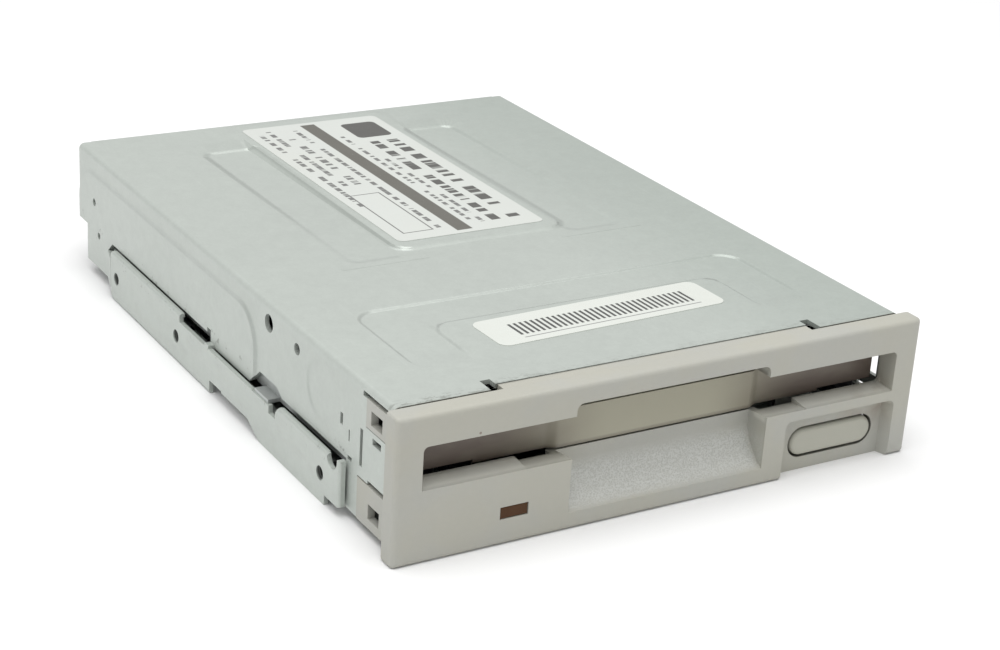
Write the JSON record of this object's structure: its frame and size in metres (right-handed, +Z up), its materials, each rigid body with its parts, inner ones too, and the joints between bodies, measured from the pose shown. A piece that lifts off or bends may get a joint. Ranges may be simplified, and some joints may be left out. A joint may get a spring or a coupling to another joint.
{
  "type": "floppy disk drive",
  "caption": "Internal floppy disk drive: folded steel frame with side rails, moulded bezel with dust door, eject button and indicator, and the loading, head and spindle mechanism.",
  "frame": {"origin": "middle of the drive at the lower edge of its rails and bezel", "axes": "+X to the right seen from the bezel, +Y from the bezel to the rear, +Z up"},
  "size_m": [0.1016, 0.14, 0.0255],
  "materials": {
    "frame": "galvanised sheet, satin",
    "bezel": "fine grained moulding",
    "button": "fine grained moulding",
    "door": "smooth moulding",
    "lens": "tinted, gloss",
    "lamp": "clear tinted",
    "large_paper": "coated paper",
    "narrow_paper": "coated paper",
    "deck": "zinc plated",
    "slide": "zinc plated",
    "holder": "zinc plated",
    "floor": "galvanised sheet, satin",
    "lever": "zinc plated",
    "spring": "drawn wire",
    "bright": "ground steel",
    "screws": "zinc plated",
    "carriage": "die cast",
    "arm": "glass filled",
    "head": "lapped ceramic",
    "can": "zinc plated",
    "rotor": "zinc plated",
    "hub": "turned steel",
    "ferrite": "bonded ferrite",
    "core": "coated laminations",
    "copper": "enamelled wire",
    "bearing": "sintered bronze",
    "board": "solder mask",
    "chips": "moulded packages",
    "connector": "moulded",
    "white_plastic": "moulded",
    "contacts": "plated",
    "switches": "moulded",
    "ribbon": "polyimide film"
  },
  "bodies": {
    "chassis": {"top_frame": "frame", "bezel": "bezel", "led_lens": "lens", "led_lamp": "lamp", "large_label": "large_paper", "narrow_label": "narrow_paper", "deck_plate": "deck", "bottom_cover": "floor", "door_spring": "spring", "slide_springs": "spring", "guide_rod": "bright", "slide_studs": "bright", "bottom_screws": "screws", "board_screws": "screws", "rod_clamps": "arm", "stepper_motor": "can", "stepper_bracket": "can", "stator_core": "core", "stator_coils": "copper", "spindle_bearing": "bearing", "motor_board": "board", "main_board": "board", "board_chips": "chips", "index_sensor": "chips", "track_sensor": "chips", "data_connector": "connector", "power_connector": "white_plastic", "cable_socket": "white_plastic", "data_pins": "contacts", "power_pins": "contacts", "switch_bodies": "switches", "head_cable": "ribbon"},
    "slide": {"slide_plate": "slide", "eject_button": "button"},
    "holder": {"disk_holder": "holder", "holder_pins": "bright", "lever_pivot": "bright", "lever_spring": "spring"},
    "lever": {"eject_lever": "lever"},
    "carriage": {"head_carriage": "carriage", "lower_head": "head", "arm_pin": "bright"},
    "arm": {"upper_arm": "arm", "upper_head": "head"},
    "screw": {"lead_screw": "bright"},
    "rotor": {"rotor_cup": "rotor", "rotor_magnet": "ferrite", "spindle_shaft": "bright", "hub_plate": "hub", "hub_magnet": "ferrite", "drive_pin": "bright"},
    "door": {"dust_door": "door"},
    "write_switch": {"write_plunger": "white_plastic"},
    "media_switch": {"media_plunger": "white_plastic"},
    "density_switch": {"density_plunger": "white_plastic"}
  },
  "joints": [
    {"name": "eject_slide", "type": "slide", "parent": "chassis", "child": "slide", "axis": [0, -1, 0], "range_m": [0, 0.0055], "deforming": ["slide_springs"]},
    {"name": "holder_drop", "type": "slide", "parent": "chassis", "child": "holder", "axis": [0, 0, -1], "range_m": [0, 0.0028]},
    {"name": "lever_swing", "type": "hinge", "parent": "holder", "child": "lever", "pos_m": [0.0386, 0.005, 0.0208], "axis": [0, 0, -1], "range_deg": [0, 77], "stiffness_Nm_per_rad": 0.002, "deforming": ["lever_spring"]},
    {"name": "carriage_travel", "type": "slide", "parent": "chassis", "child": "carriage", "axis": [0, -1, 0], "range_m": [0, 0.0148], "deforming": ["head_cable"]},
    {"name": "screw_turn", "type": "hinge", "parent": "chassis", "child": "screw", "pos_m": [0.02, 0.042, 0.0135], "axis": [0, 1, 0], "range_deg": [0, 1777]},
    {"name": "arm_lower", "type": "hinge", "parent": "carriage", "child": "arm", "pos_m": [0, 0.048, 0.0175], "axis": [1, 0, 0], "range_deg": [0, 11.5]},
    {"name": "spindle_turn", "type": "hinge", "parent": "chassis", "child": "rotor", "pos_m": [0, -0.017, 0.008], "axis": [0, 0, 1], "continuous": true},
    {"name": "door_swing", "type": "hinge", "parent": "chassis", "child": "door", "pos_m": [0, -0.0636, 0.0216], "axis": [1, 0, 0], "range_deg": [0, 82], "stiffness_Nm_per_rad": 0.0012, "deforming": ["door_spring"]},
    {"name": "write_switch_press", "type": "slide", "parent": "chassis", "child": "write_switch", "axis": [0, 0, -1], "range_m": [0, 0.0009], "stiffness_N_per_m": 50},
    {"name": "media_switch_press", "type": "slide", "parent": "chassis", "child": "media_switch", "axis": [0, 0, -1], "range_m": [0, 0.0009], "stiffness_N_per_m": 50},
    {"name": "density_switch_press", "type": "slide", "parent": "chassis", "child": "density_switch", "axis": [0, 0, -1], "range_m": [0, 0.0009], "stiffness_N_per_m": 50}
  ],
  "couplings": [
    {"joint": "holder_drop", "follows": "eject_slide", "ratio": 0.50909},
    {"joint": "arm_lower", "follows": "eject_slide", "rad_per_m": 36.493},
    {"joint": "screw_turn", "follows": "carriage_travel", "rad_per_m": 2094.4}
  ]
}
